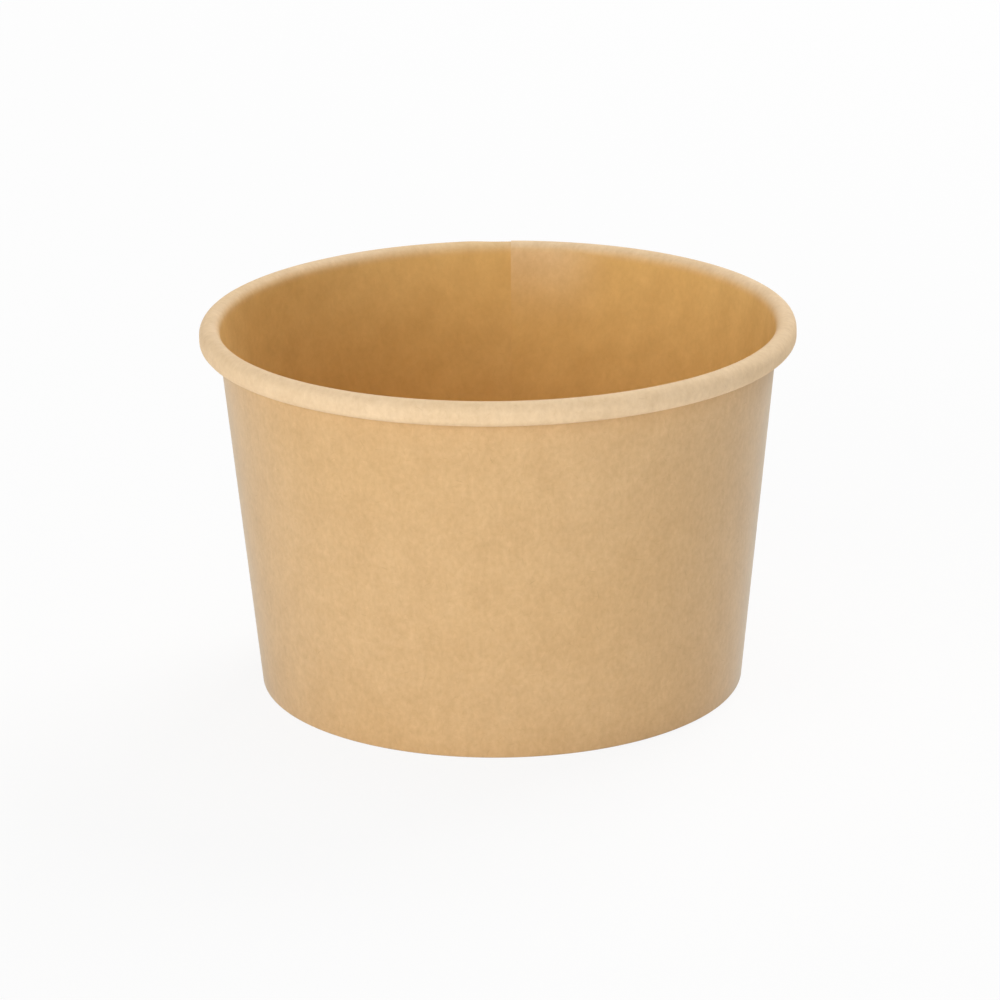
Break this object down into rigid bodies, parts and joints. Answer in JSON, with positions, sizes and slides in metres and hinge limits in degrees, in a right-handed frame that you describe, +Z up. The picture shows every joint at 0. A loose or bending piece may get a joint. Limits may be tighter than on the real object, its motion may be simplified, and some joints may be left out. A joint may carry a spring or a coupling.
{
  "type": "paper ice cream tub",
  "caption": "Round tapered kraft paperboard tub, open at the top, with a rolled rim, a lapped side seam and a base set in above a folded foot, for ice cream or other food.",
  "frame": {"origin": "middle of the circle that the folded foot rests on, at the resting plane", "axes": "+Z up along the tub's axis, out of the open mouth; -Y to the front; the side seam is at the back, near +Y"},
  "size_m": [0.096, 0.096, 0.0607],
  "materials": {
    "wall_board": "uncoated matt brown kraft outside, thin clear film inside",
    "base_board": "matt brown kraft, thin clear film on the upper side"
  },
  "bodies": {
    "root": {"side_wall": "wall_board", "base_disc": "base_board"}
  },
  "joints": []
}
